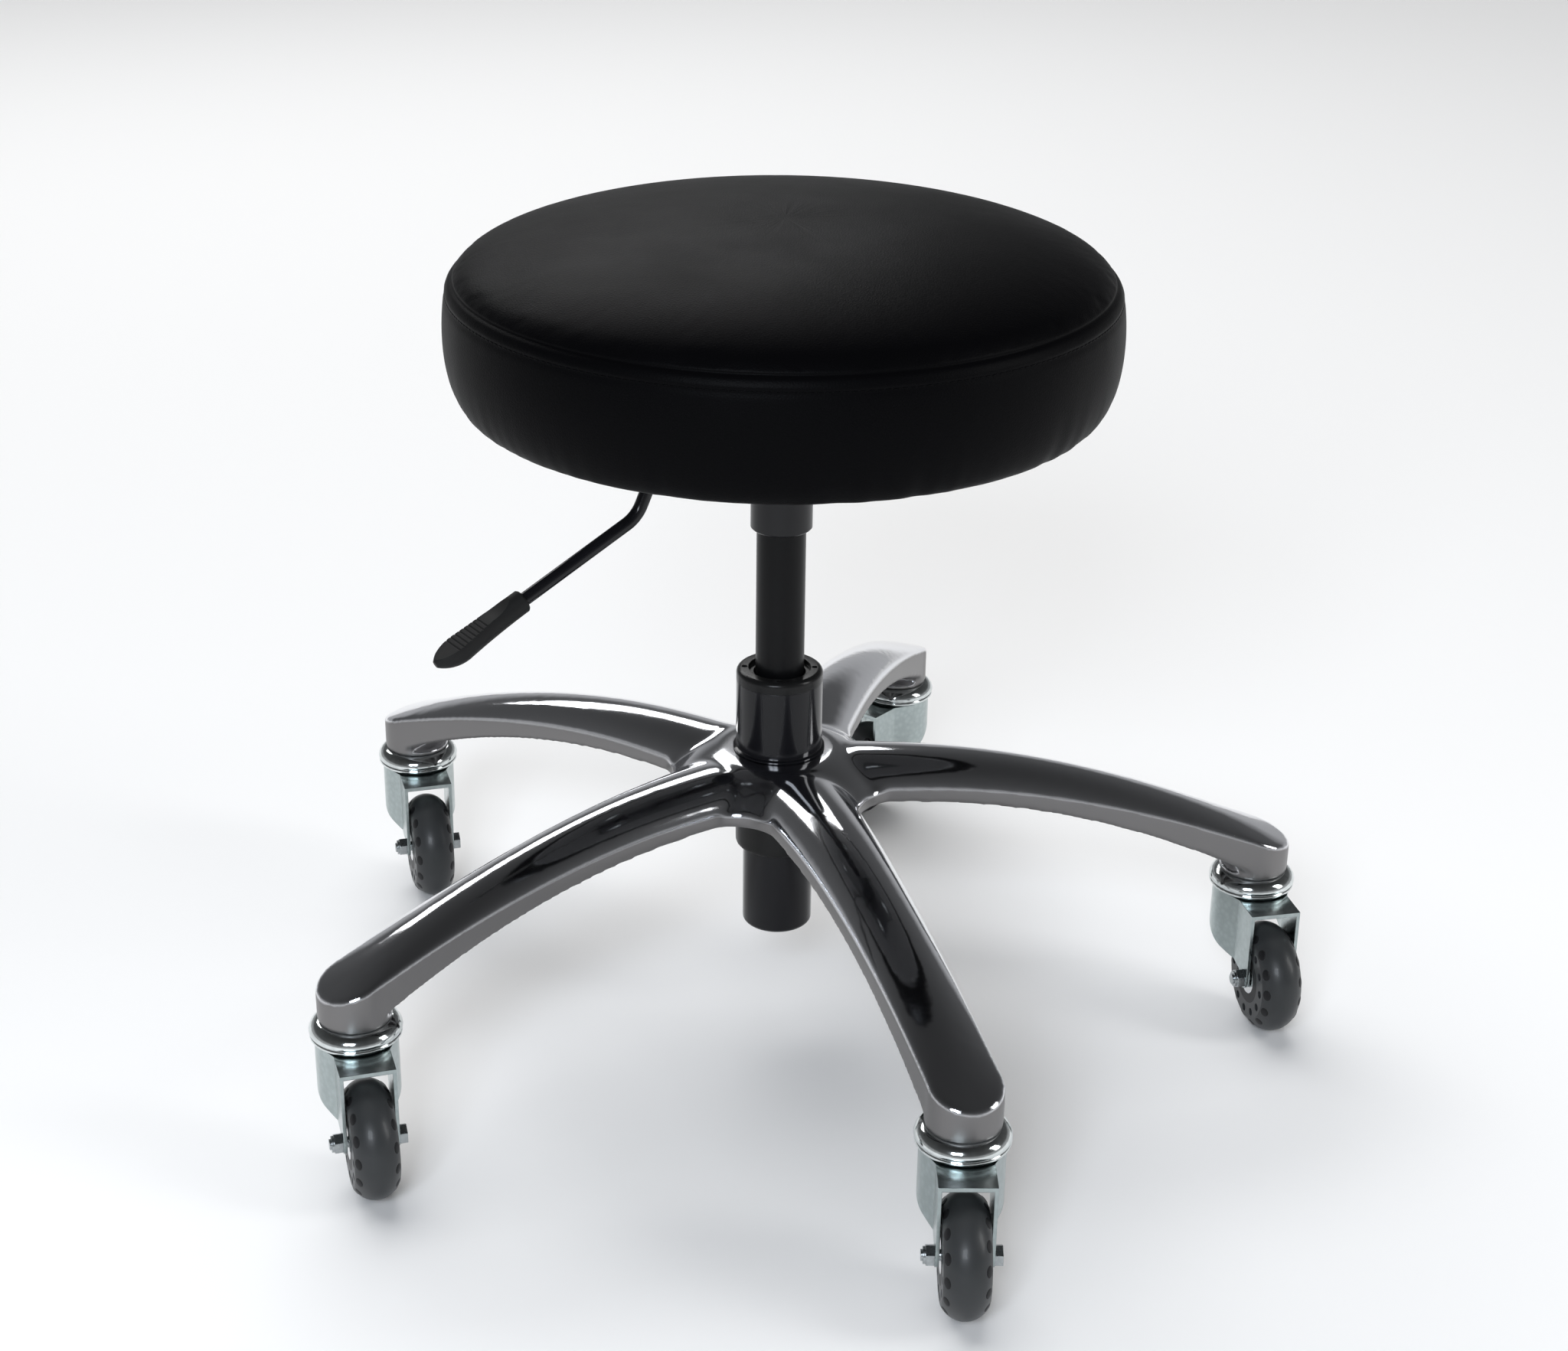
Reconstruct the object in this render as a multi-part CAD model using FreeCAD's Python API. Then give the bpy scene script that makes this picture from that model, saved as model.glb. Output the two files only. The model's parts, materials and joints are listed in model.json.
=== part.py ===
import FreeCAD, Part
import math
import os

V = FreeCAD.Vector

# ---------------------------------------------------------------- driving dimensions, mm
# Casters
wheel_radius = 32.6
wheel_width = 24.4
tyre_shoulder_radius = 24.5
core_radius = 15.2
spacer_wall = 1.5
bearing_radius = 9.5
bearing_width = 6.0
bearing_lip = 1.0
window_radius = 2.3
window_depth = 2.0
window_circle = 20.5
windows = 12
axle_radius = 2.95
axle_gap = 0.05
hex_flats = 10.0
hex_head = 4.3
hex_nut = 4.5
nut_collar = 1.4
collar_radius = 4.5
thread_end = 1.1
caster_height = 88.0
caster_trail = 34.8
fork_side_gap = 0.8
fork_plate = 2.0
fork_crown = 2.5
fork_crown_radius = 22.5
fork_end_radius = 6.0
fork_bend = 20.0
fork_skirt = 9.0
fork_leg_sag = 8.0
neck_radius = 19.5
neck_height = 2.6
neck_wall = 9.5
neck_gap = 1.0
cup_height = 10.1
cup_drop = 0.9
cup_radius = 25.2
cup_lip_radius = 24.9
cup_groove = 0.8
cup_wall = 4.0
ball_radius = 2.0
ball_circle = 15.0
balls = 10
running_gap = 0.3
stem_radius = 5.5
stem_length = 22.0
kingpin_radius = 5.0
rivet_radius = 8.0
rivet_thickness = 3.0
grip_ring_play = 0.25
grip_ring_length = 7.0
grip_ring_below_top = 5.0
grip_ring_depth = 0.5
grip_ring_slit = 1.6
stem_names = ("right", "back", "back_left", "front_left", "front_right")
first_arm_angle = 1.63
caster_headings = (-77.6, -130.0, -74.0, -73.0, -89.1)

# Base casting
arm_reach = 284.4
boss_radius = 20.2
hub_rise = 80.0
arm_ridge_fall = 52.0
arm_crease_fall = 40.4
arm_edge_fall = 53.0
crown_height = 15.0
ridge_drop = 0.5
arm_boss_lap = 0.3
roof_overhang = 0.8
boss_lip = 2.5
arm_spans = 5
crotch_lap = 2.2
crotch_fall = 2.0
arm_edge_power = 2.1
arm_wall_height = 9.5
arm_root_radius = 60.0
arm_root_half_width = 26.5
arm_fall_power = 1.95
arm_narrowing_power = 2.5
crotch_radius = 29.0
casting_wall = 4.5
casting_roof = 6.0
rib_thickness = 3.0
hub_flat_radius = 34.0
hub_wall = 4.5
hub_depth = 62.0

# Column
column_radius = 25.0
column_wall = 2.0
column_height = 50.5
column_rim_radius = 26.6
column_rim = 2.0
tail_radius = 20.5
tail_length = 114.5
taper_top_radius = 22.0
bush_foot = 6.0
neck_down = 8.0
tail_lip = 2.0
tail_round = 3.0
rim_bevel = 0.6
cap_height = 7.0
cap_recess_radius = 18.0
cap_recess = 2.6
cap_round = 3.0
cap_play = 1.0
spanner_hole_radius = 1.6
spanner_circle = 20.2
spanner_holes = 4
spanner_depth = 2.5
end_plate_recess = 5.5
end_plate = 3.0
washer_thickness = 2.0
washer_radius = 13.0
thrust_ball_radius = 2.0
thrust_balls = 9
clip_thickness = 1.5
clip_radius = 8.0
clip_mouth = 4.0
rod_radius = 5.0
rod_tail_radius = 4.0
rod_length = 142.0
rod_end = 3.0
rod_tail_end = 1.5
piston_height = 12.0
cylinder_radius = 14.0
cylinder_wall = 2.0
fit_gap = 0.05
lift_exposed = 86.0
lift_down = 76.0
lift_end_gap = 2.0
guide_length = 18.0
taper_start = 2.0
taper_length = 50.0
taper_degrees = 1.4326
valve_height = 12.0
pin_buried = 17.0
pin_bevel = 0.5
pin_radius = 3.0
pin_stand = 6.0

# Seat mechanism
mechanism_height = 76.7
socket_radius = 17.5
socket_length = 48.0
plate_side = 150.0
plate_corner = 14.0
plate_thickness = 2.5
housing_back = 45.0
housing_front = 55.0
housing_half_width = 28.0
housing_height = 38.0
housing_wall = 2.5
housing_corner = 8.0
screw_spacing = 110.0
screw_radius = 3.0
screw_head_radius = 6.0
screw_head = 3.5
screw_recess_side = 4.0
screw_recess = 1.6
screw_play = 0.3
lever_heading = 215.0
lever_radius = 3.75
lever_pivot_reach = 42.0
lever_pin_gap = 0.3
lever_inner_end = -6.0
lever_first_bend = 78.0
lever_second_bend = 95.5
lever_dip = 36.0
lever_first_bend_radius = 14.0
lever_second_bend_radius = 20.0
lever_run = 78.0
lever_slope = 24.5
pivot_block = 14.0
pivot_round = 2.0
trunnion_end = 0.5
trunnion_radius = 3.0
grip_length = 59.0
grip_collar_radius = 6.5
grip_widest_radius = 8.3
grip_flat = 4.4
grip_fall = 1.8
grip_groove = 0.55
grip_groove_lift = 0.1
scoop_start = 0.36
ribs_start = 0.44
grip_rib_pitch = 2.8
grip_ribs = 8
grip_bore = 22.0

# Seat
seat_radius = 184.4
seat_thickness = 100.3
seat_crown = 30.5
seat_seam_radius = 178.0
seat_belt_low = 35.3
seat_belt_high = 44.5
seat_foot_radius = 168.0
crown_edge_power = 1.63
crown_top_power = 2.38
tuck_power = 2.12
shoulder_draw = 1.1
cover_thickness = 1.2
cover_turn_in = 33.0
board_radius = 162.0
board_thickness = 12.0
dust_cover_radius = 152.0
dust_cover_thickness = 0.6
t_nut_radius = 9.5
t_nut_flange = 1.4
t_nut_barrel = 4.2
t_nut_sink = 3.0

# ---------------------------------------------------------------- levels above the floor, mm
arm_count = len(stem_names)
boss_bottom = caster_height
crown_top = boss_bottom - cup_height - cup_drop
hub_top = boss_bottom + hub_rise
column_top = hub_top + column_height
tail_end = hub_top - tail_length
end_plate_bottom = tail_end + end_plate_recess
end_plate_top = end_plate_bottom + end_plate
lower_washer_top = end_plate_top + washer_thickness
upper_washer_bottom = lower_washer_top + 2 * thrust_ball_radius + fit_gap
rod_shoulder = upper_washer_bottom + washer_thickness
cylinder_bottom = rod_shoulder + lift_end_gap + lift_down
socket_bottom = column_top + lift_exposed
cylinder_taper = socket_bottom + taper_start
cylinder_top = cylinder_taper + taper_length
plate_top = socket_bottom + mechanism_height
plate_bottom = plate_top - plate_thickness
housing_bottom = plate_bottom - housing_height
pin_top = cylinder_top + pin_stand
lever_level = pin_top + lever_pin_gap + lever_radius
seat_bottom = plate_top + dust_cover_thickness
board_bottom = seat_bottom + cover_thickness
board_top = board_bottom + board_thickness
fork_half_gap = wheel_width / 2 + fork_side_gap
fork_half_width = fork_half_gap + fork_plate
stem_hole_radius = stem_radius + grip_ring_play


# ---------------------------------------------------------------- helpers
def outline(steps):
    """Closed wire in the XZ plane. A step is a point, or two for an arc through one to the other."""
    points = [V(x, 0, z) for x, z in steps[:1]]
    edges = []
    for step in steps[1:]:
        if isinstance(step[0], tuple):
            through, end = (V(x, 0, z) for x, z in step)
            edges.append(Part.Arc(points[-1], through, end).toShape())
        else:
            end = V(step[0], 0, step[1])
            edges.append(Part.makeLine(points[-1], end))
        points.append(end)
    if points[-1].distanceToPoint(points[0]) > 1e-6:
        edges.append(Part.makeLine(points[-1], points[0]))
    return Part.Wire(edges)


def turned(steps):
    """The outline, read as (radius, height), turned round the Z axis."""
    return Part.Face(outline(steps)).revolve(V(0, 0, 0), V(0, 0, 1), 360)


def rod(radius, bottom, top):
    return Part.makeCylinder(radius, top - bottom, V(0, 0, bottom))


def ring(outer, inner, bottom, top):
    return rod(outer, bottom, top).cut(rod(inner, bottom, top))


def cross_rod(radius, low, high):
    """A rod along Y."""
    return Part.makeCylinder(radius, high - low, V(0, low, 0), V(0, 1, 0))


def block(low, high):
    return Part.makeBox(*(b - a for a, b in zip(low, high)), V(*low))


def moved(shape, x=0.0, y=0.0, z=0.0, turn=0.0):
    """A copy turned round the Z axis and then shifted."""
    copy = shape.copy()
    copy.rotate(V(0, 0, 0), V(0, 0, 1), turn)
    copy.translate(V(x, y, z))
    return copy


def polar_copies(shape, count, radius, height=0.0):
    copies = []
    for k in range(count):
        angle = 2 * math.pi * k / count
        copies.append(moved(shape, radius * math.cos(angle), radius * math.sin(angle), height))
    return copies


def hexagon(flats, low, high):
    """A hexagonal prism along Y."""
    corner = flats / math.sqrt(3)
    angles = [k * math.pi / 3 for k in range(7)]
    points = [V(corner * math.sin(angle), low, corner * math.cos(angle)) for angle in angles]
    return Part.Face(Part.makePolygon(points)).extrude(V(0, high - low, 0))


def save(name, shape):
    if shape.isNull() or not shape.isValid():
        raise ValueError(name + " is not a valid solid")
    shape.exportStep(os.path.join("parts", name + ".step"))
    print(name, len(shape.Solids), "solid(s)", round(shape.Volume / 1000, 2), "cm3")


def group(shapes):
    return Part.makeCompound(shapes)


# ---------------------------------------------------------------- wheel, made round the Y axis at its own centre
def wheel_turned(steps):
    """The outline, read as (radius, y), turned round the Y axis."""
    shape = turned(steps)
    shape.rotate(V(0, 0, 0), V(1, 0, 0), 90)
    return shape


def make_tyre():
    half = wheel_width / 2
    tyre = wheel_turned(
        [
            (core_radius, half),
            (tyre_shoulder_radius, half),
            ((wheel_radius, 0), (tyre_shoulder_radius, -half)),
            (core_radius, -half),
        ]
    )
    pocket = cross_rod(window_radius, -window_depth, window_depth)
    for k in range(windows):
        angle = 2 * math.pi * k / windows
        for side in (-half, half):
            place = V(window_circle * math.cos(angle), side, window_circle * math.sin(angle))
            tyre = tyre.cut(pocket.translated(place))
    return tyre


def make_wheel_core():
    half = wheel_width / 2
    seat = half - bearing_width
    lip = bearing_radius - bearing_lip
    return wheel_turned(
        [
            (bearing_radius, half),
            (core_radius, half),
            (core_radius, -half),
            (bearing_radius, -half),
            (bearing_radius, -seat),
            (lip, -seat),
            (lip, seat),
            (bearing_radius, seat),
        ]
    )


def make_wheel_bearings():
    half = wheel_width / 2
    seat = half - bearing_width
    bore = axle_radius + axle_gap
    bearing = cross_rod(bearing_radius, seat, half).cut(cross_rod(bore, seat, half))
    other = bearing.translated(V(0, -seat - half, 0))
    spacer = cross_rod(bore + spacer_wall, -seat, seat).cut(cross_rod(bore, -seat, seat))
    return group([bearing, other, spacer])


# ---------------------------------------------------------------- fork, swivel axis on Z, trailing along +X
def fork_plan(inset):
    """Plan of the fork: parallel legs at the wheel, bending out to a round crown."""
    radius = fork_crown_radius - inset
    half = fork_half_width - inset
    back = math.atan2(half, fork_bend) + math.acos(radius / math.hypot(fork_bend, half))
    touch = (radius * math.cos(back), radius * math.sin(back))
    end = caster_trail + fork_end_radius
    wire = outline(
        [
            (end, half),
            (fork_bend, half),
            touch,
            ((-radius, 0), (touch[0], -touch[1])),
            (fork_bend, -half),
            (end, -half),
        ]
    )
    wire.rotate(V(0, 0, 0), V(1, 0, 0), 90)
    return Part.Face(wire)


def make_fork():
    under = crown_top - fork_crown
    low = wheel_radius - fork_end_radius
    end = caster_trail + fork_end_radius
    shell = fork_plan(0).extrude(V(0, 0, crown_top - low)).translated(V(0, 0, low))
    hollow = fork_plan(fork_plate).extrude(V(0, 0, under - low)).translated(V(0, 0, low))
    opening = block((fork_bend, -fork_half_gap, low), (end + 1, fork_half_gap, under))
    leg_root = (caster_trail - fork_end_radius, wheel_radius + fork_end_radius / 2)
    skirt = (-fork_crown_radius, crown_top - fork_skirt)
    middle = ((leg_root[0] + skirt[0]) / 2, (leg_root[1] + skirt[1]) / 2 - fork_leg_sag)
    side = outline(
        [
            (-fork_crown_radius - 1, crown_top + 1),
            (end, crown_top + 1),
            (end, wheel_radius),
            ((caster_trail, low), (caster_trail - fork_end_radius, wheel_radius)),
            leg_root,
            (middle, skirt),
            (-fork_crown_radius - 1, skirt[1]),
        ]
    )
    side.translate(V(0, -fork_crown_radius - 1, 0))
    side_prism = Part.Face(side).extrude(V(0, 2 * fork_crown_radius + 2, 0))
    fork = shell.cut(hollow).cut(opening).common(side_prism)
    neck = ring(neck_radius, kingpin_radius + fit_gap, crown_top, crown_top + neck_height)
    neck = neck.cut(rod(neck_radius - neck_wall, crown_top, crown_top + neck_height))
    fork = fork.fuse(neck).cut(rod(kingpin_radius + fit_gap, under - 1, crown_top + 1))
    axle_hole = cross_rod(axle_radius + axle_gap, -fork_half_width - 1, fork_half_width + 1)
    return fork.cut(axle_hole.translated(V(caster_trail, 0, wheel_radius))).removeSplitter()


def make_axle_bolt():
    """Hexagon head on the +Y side, thread end on the -Y side."""
    tip = -(fork_half_width + hex_nut + nut_collar + thread_end)
    bolt = cross_rod(axle_radius, tip, fork_half_width + hex_head / 2)
    head = hexagon(hex_flats, fork_half_width, fork_half_width + hex_head)
    return bolt.fuse(head).translated(V(caster_trail, 0, wheel_radius))


def make_axle_nut():
    inner = -fork_half_width
    outer = inner - hex_nut
    nut = hexagon(hex_flats, outer, inner)
    collar = cross_rod(collar_radius, outer - nut_collar, outer)
    bore = cross_rod(axle_radius, outer - nut_collar - 1, inner + 1)
    return nut.fuse(collar).cut(bore).translated(V(caster_trail, 0, wheel_radius))


# ---------------------------------------------------------------- caster pieces that stay with the base
def make_race_cup():
    """A domed steel cup over the balls, with a thin bead round its lip."""
    top = boss_bottom
    lip = top - cup_height
    groove = lip + 2.4
    roof = top - cup_wall
    hub = stem_radius + cup_wall
    return turned(
        [
            (stem_radius, top),
            (boss_radius - 1.0, top),
            ((cup_radius - 1.6, top - 2.3), (cup_radius, groove + 2.2)),
            ((cup_radius - 0.2, groove + 0.9), (cup_lip_radius - cup_groove, groove)),
            ((cup_lip_radius, lip + 1.2), (cup_lip_radius - cup_groove, lip)),
            (neck_radius + 1.5, lip),
            (neck_radius + 1.5, roof),
            (hub, roof),
            (hub, crown_top + neck_height + neck_gap),
            (stem_radius, crown_top + neck_height + neck_gap),
        ]
    )


def make_stem():
    top = boss_bottom + stem_length
    groove_top = top - grip_ring_below_top
    groove_bottom = groove_top - grip_ring_length
    neck = stem_radius - grip_ring_depth
    shoulder = crown_top + neck_height + neck_gap
    under = crown_top - fork_crown - running_gap
    return turned(
        [
            (0, top),
            (stem_radius - 1.0, top),
            (stem_radius, top - 1.5),
            (stem_radius, groove_top),
            (neck, groove_top),
            (neck, groove_bottom),
            (stem_radius, groove_bottom),
            (stem_radius, shoulder),
            (kingpin_radius, shoulder),
            (kingpin_radius, under),
            (rivet_radius, under),
            (rivet_radius, under - rivet_thickness / 2),
            (rivet_radius - 1.4, under - rivet_thickness),
            (0, under - rivet_thickness),
        ]
    )


def make_grip_ring():
    top = boss_bottom + stem_length - grip_ring_below_top
    bottom = top - grip_ring_length
    whole = ring(stem_hole_radius, stem_radius - grip_ring_depth, bottom, top)
    half = grip_ring_slit / 2
    return whole.cut(block((0, -half, bottom - 1), (stem_radius + 2, half, top + 1)))


def make_swivel_balls():
    height = crown_top + neck_height + running_gap + ball_radius
    return polar_copies(Part.makeSphere(ball_radius), balls, ball_circle, height)


# ---------------------------------------------------------------- base casting
def fall(radius, total, power=arm_fall_power):
    """How far an edge of the arm has dropped at this radius."""
    share = max(0.0, (radius - arm_root_radius) / (arm_reach - arm_root_radius))
    return total * share**power


def half_width(radius):
    narrow = boss_radius - arm_boss_lap
    share = max(0.0, 1 - (radius - arm_root_radius) / (arm_reach - arm_root_radius))
    return narrow + (arm_root_half_width - narrow) * share**arm_narrowing_power


def ridge_level(radius):
    return hub_top - ridge_drop - fall(radius, arm_ridge_fall)


def crease_level(radius):
    return hub_top - crown_height - fall(radius, arm_crease_fall)


def edge_level(radius):
    return hub_top - crown_height - arm_wall_height - fall(radius, arm_edge_fall, arm_edge_power)


def arm_section(radius, inset, drop):
    """Section across the arm: an arch from crease to crease on two upright sides. A drop lowers it all."""
    half = half_width(radius) - inset
    low = max(edge_level(radius), boss_bottom + boss_lip) - 2 * drop
    feet = [V(radius, side * half, z) for side in (-1, 1) for z in (low, crease_level(radius) - drop)]
    arch = Part.Arc(feet[1], V(radius, 0, ridge_level(radius) - drop), feet[3]).toShape()
    edges = [Part.makeLine(feet[0], feet[1]), arch, Part.makeLine(feet[3], feet[2])]
    return Part.Wire(edges + [Part.makeLine(feet[2], feet[0])])


def arm_solid(inset, drop, last):
    first = arm_root_radius - casting_wall * 4
    step = (last - arm_root_radius) / arm_spans
    stations = [first] + [arm_root_radius + k * step for k in range(arm_spans + 1)]
    return Part.makeLoft([arm_section(r, inset, drop) for r in stations], True, False)


def web_prism(bottom, top):
    """The web between two arms, hollowed by a round crotch. It is symmetric about +X."""
    half_pitch = math.pi / arm_count
    half = arm_root_half_width - crotch_lap
    centre = (half + crotch_radius) / math.sin(half_pitch)
    along = centre * math.cos(half_pitch)
    touch = V(along * math.cos(half_pitch), along * math.sin(half_pitch), bottom)
    touch += V(math.sin(half_pitch), -math.cos(half_pitch), 0) * half
    mirror = V(touch.x, -touch.y, bottom)
    arc = Part.Arc(touch, V(centre - crotch_radius, 0, bottom), mirror).toShape()
    middle = V(0, 0, bottom)
    web = Part.Wire([Part.makeLine(middle, touch), arc, Part.makeLine(mirror, middle)])
    return Part.Face(web).extrude(V(0, 0, top - bottom))


def hub_dome(radius, drop, bottom):
    """The round roof over the middle of the base, lowered by the drop."""
    crease = hub_top - crown_height - drop
    shoulder = (hub_flat_radius + arm_root_radius) / 2 + 1.5
    return turned(
        [
            (0, hub_top - drop),
            (hub_flat_radius, hub_top - drop),
            ((shoulder, hub_top - 0.4 * crown_height - drop), (arm_root_radius, crease)),
            (radius, crease - crotch_fall),
            (radius, bottom),
            (0, bottom),
        ]
    )


def make_arm_end():
    """The round end of an arm: its arched roof runs on over the caster's boss."""
    wall = arm_reach + boss_radius
    radii = (arm_reach - boss_radius - 1, arm_reach, wall + 1)
    roof = Part.makeLoft([arm_section(r, -roof_overhang, 0) for r in radii], True)
    post = rod(boss_radius, boss_bottom + boss_lip + 1, hub_top).translated(V(arm_reach, 0, 0))
    foot = rod(boss_radius, boss_bottom, boss_bottom + boss_lip + 1).translated(V(arm_reach, 0, 0))
    return post.common(roof).fuse(foot).removeSplitter()


def make_base_casting():
    floor = edge_level(arm_root_radius)
    hub_radius = tail_radius + hub_wall
    web_edge = arm_root_radius + crotch_radius
    star = rod(arm_root_radius - 1, floor, hub_top + 1)
    web = web_prism(floor, hub_top + 1)
    for k in range(arm_count):
        star = star.fuse(moved(web, turn=360 * (k + 0.5) / arm_count))
    casting = star.common(hub_dome(web_edge, 0, floor - 1))

    arm = arm_solid(0, 0, arm_reach).fuse(make_arm_end())
    casting = casting.fuse([moved(arm, turn=360 * k / arm_count) for k in range(arm_count)])

    channel = arm_solid(casting_wall, casting_roof, arm_reach - boss_radius - 1)
    room = hub_dome(arm_root_radius - casting_wall, casting_roof, floor - 1)
    room = room.cut(rod(hub_radius, floor - 2, hub_top))
    for k in range(arm_count):
        room = room.fuse(moved(channel, turn=360 * k / arm_count))
    rib = block((0, -rib_thickness / 2, boss_bottom), (arm_reach, rib_thickness / 2, hub_top))
    for k in range(arm_count):
        room = room.cut(moved(rib, turn=360 * k / arm_count))
    casting = casting.cut(room)
    casting = casting.fuse(rod(hub_radius, hub_top - hub_depth, hub_top - casting_roof / 2))
    stem_hole = rod(stem_hole_radius, boss_bottom - 1, boss_bottom + stem_length + 1)
    stem_hole = stem_hole.translated(V(arm_reach, 0, 0))
    for k in range(arm_count):
        casting = casting.cut(moved(stem_hole, turn=360 * k / arm_count))
    casting = casting.cut(column_taper(1.0))
    return moved(casting, turn=first_arm_angle)


# ---------------------------------------------------------------- column
def column_taper(overrun):
    """The space that the tapered seat of the column fills inside the hub."""
    foot = hub_top - hub_depth
    return turned(
        [
            (0, hub_top + overrun),
            (taper_top_radius, hub_top + overrun),
            (taper_top_radius, hub_top),
            (tail_radius, foot),
            (tail_radius, foot - overrun),
            (0, foot - overrun),
        ]
    )


def make_column_tube():
    foot = hub_top - hub_depth
    inside = column_radius - column_wall
    tail_inside = tail_radius - column_wall
    return turned(
        [
            (inside, column_top - cap_height),
            (column_radius, column_top - cap_height),
            (column_radius, hub_top + column_rim),
            (column_rim_radius, hub_top + column_rim - rim_bevel),
            (column_rim_radius, hub_top + rim_bevel),
            (column_rim_radius - rim_bevel, hub_top),
            (taper_top_radius, hub_top),
            (tail_radius, foot),
            (tail_radius, tail_end + tail_round),
            (
                (tail_radius - 0.3 * tail_round, tail_end + 0.3 * tail_round),
                (tail_radius - tail_round, tail_end),
            ),
            (tail_inside - tail_lip, tail_end),
            (tail_inside - tail_lip, end_plate_bottom),
            (tail_inside, end_plate_bottom),
            (tail_inside, hub_top - neck_down),
            (inside, hub_top + bush_foot),
        ]
    )


def make_column_cap():
    """Nylon cap on the tube: a recess round the cylinder and four blind spanner holes."""
    bottom = column_top - cap_height
    cap = turned(
        [
            (cylinder_radius + cap_play, bottom),
            (column_radius, bottom),
            (column_radius, column_top - cap_round),
            (
                (column_radius - 0.3 * cap_round, column_top - 0.3 * cap_round),
                (column_radius - cap_round, column_top),
            ),
            (cap_recess_radius, column_top),
            (cap_recess_radius, column_top - cap_recess),
            (cylinder_radius + cap_play, column_top - cap_recess),
        ]
    )
    hole = rod(spanner_hole_radius, 0, spanner_depth + 1)
    for cutter in polar_copies(hole, spanner_holes, spanner_circle, column_top - spanner_depth):
        cap = cap.cut(cutter)
    return cap


def make_guide_bush():
    inside = column_radius - column_wall
    return ring(inside, cylinder_radius + fit_gap, hub_top + bush_foot, column_top - cap_height)


def make_end_plate():
    plate = rod(tail_radius - column_wall, end_plate_bottom, end_plate_top)
    return plate.cut(rod(rod_tail_radius + fit_gap, end_plate_bottom, end_plate_top))


def make_thrust_washer(bottom):
    return ring(washer_radius, rod_tail_radius + fit_gap, bottom, bottom + washer_thickness)


def make_thrust_balls():
    circle = (washer_radius + rod_tail_radius) / 2
    height = lower_washer_top + thrust_ball_radius
    return group(polar_copies(Part.makeSphere(thrust_ball_radius), thrust_balls, circle, height))


def make_rod_clip():
    top = end_plate_bottom - running_gap
    clip = ring(clip_radius, rod_tail_radius, top - clip_thickness, top)
    half = clip_mouth / 2
    return clip.cut(block((0, -half, top - clip_thickness - 1), (clip_radius + 1, half, top + 1)))


def make_piston_rod():
    top = rod_shoulder + rod_length
    tail = end_plate_bottom - running_gap - clip_thickness - rod_tail_end
    rod_body = rod(rod_radius, rod_shoulder, top)
    return rod_body.fuse(rod(rod_tail_radius, tail, rod_shoulder))


def piston_level():
    return rod_shoulder + rod_length - rod_end - piston_height


def make_piston():
    low = piston_level()
    bore = cylinder_radius - cylinder_wall
    return ring(bore - fit_gap, rod_radius, low, low + piston_height)


def taper_radius(level):
    return cylinder_radius - (level - cylinder_taper) * math.tan(math.radians(taper_degrees))


def make_gas_cylinder():
    bore = cylinder_radius - cylinder_wall
    top_radius = taper_radius(cylinder_top)
    chamber_top = cylinder_top - valve_height
    narrow = top_radius - cylinder_wall
    return turned(
        [
            (bore, cylinder_bottom),
            (cylinder_radius - 0.6, cylinder_bottom),
            (cylinder_radius, cylinder_bottom + 0.8),
            (cylinder_radius, cylinder_taper),
            (top_radius, cylinder_top),
            (pin_radius + fit_gap, cylinder_top),
            (pin_radius + fit_gap, chamber_top),
            (narrow, chamber_top),
            (bore, cylinder_taper - 2),
        ]
    )


def make_rod_guide():
    bore = cylinder_radius - cylinder_wall
    top = cylinder_bottom + guide_length
    return ring(bore, rod_radius + fit_gap, cylinder_bottom, top)


def make_release_pin():
    pin = rod(pin_radius, cylinder_top - pin_buried, pin_top)
    return pin.makeChamfer(pin_bevel, [e for e in pin.Edges if abs(e.CenterOfMass.z - pin_top) < 0.01])


# ---------------------------------------------------------------- seat mechanism, lever along +X
def rounded_block(half_x, half_y, corner, bottom, top):
    shape = block((-half_x, -half_y, bottom), (half_x, half_y, top))
    upright = [e for e in shape.Edges if abs(e.Vertexes[0].Z - e.Vertexes[-1].Z) > 0.5 * (top - bottom)]
    return shape.makeFillet(corner, upright)


def at_screws(shape):
    half = screw_spacing / 2
    return [moved(shape, x, y) for x in (-half, half) for y in (-half, half)]


def make_seat_plate():
    side = plate_side / 2
    plate = rounded_block(side, side, plate_corner, plate_bottom, plate_top)
    length = (housing_front + housing_back) / 2
    shift = (housing_front - housing_back) / 2
    wall = housing_wall
    box = rounded_block(length, housing_half_width, housing_corner, housing_bottom, plate_bottom)
    room = rounded_block(
        length - wall,
        housing_half_width - wall,
        housing_corner - wall,
        housing_bottom + wall,
        plate_bottom,
    )
    housing = box.cut(room).translated(V(shift, 0, 0))
    body = plate.fuse(housing)
    body = body.cut(rod(socket_radius, housing_bottom - 1, housing_bottom + wall + 1))
    window = block(
        (housing_front - wall - 1, -2 * lever_radius, lever_level - 2 * lever_radius),
        (housing_front + 1, 2 * lever_radius, plate_bottom),
    )
    body = body.cut(window)
    pivot = cross_rod(trunnion_radius + fit_gap, -housing_half_width - 1, housing_half_width + 1)
    body = body.cut(pivot.translated(V(lever_pivot_reach, 0, lever_level)))
    for hole in at_screws(rod(screw_radius + screw_play, plate_bottom - 1, plate_top + 1)):
        body = body.cut(hole)
    return moved(body.removeSplitter(), turn=lever_heading)


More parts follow.
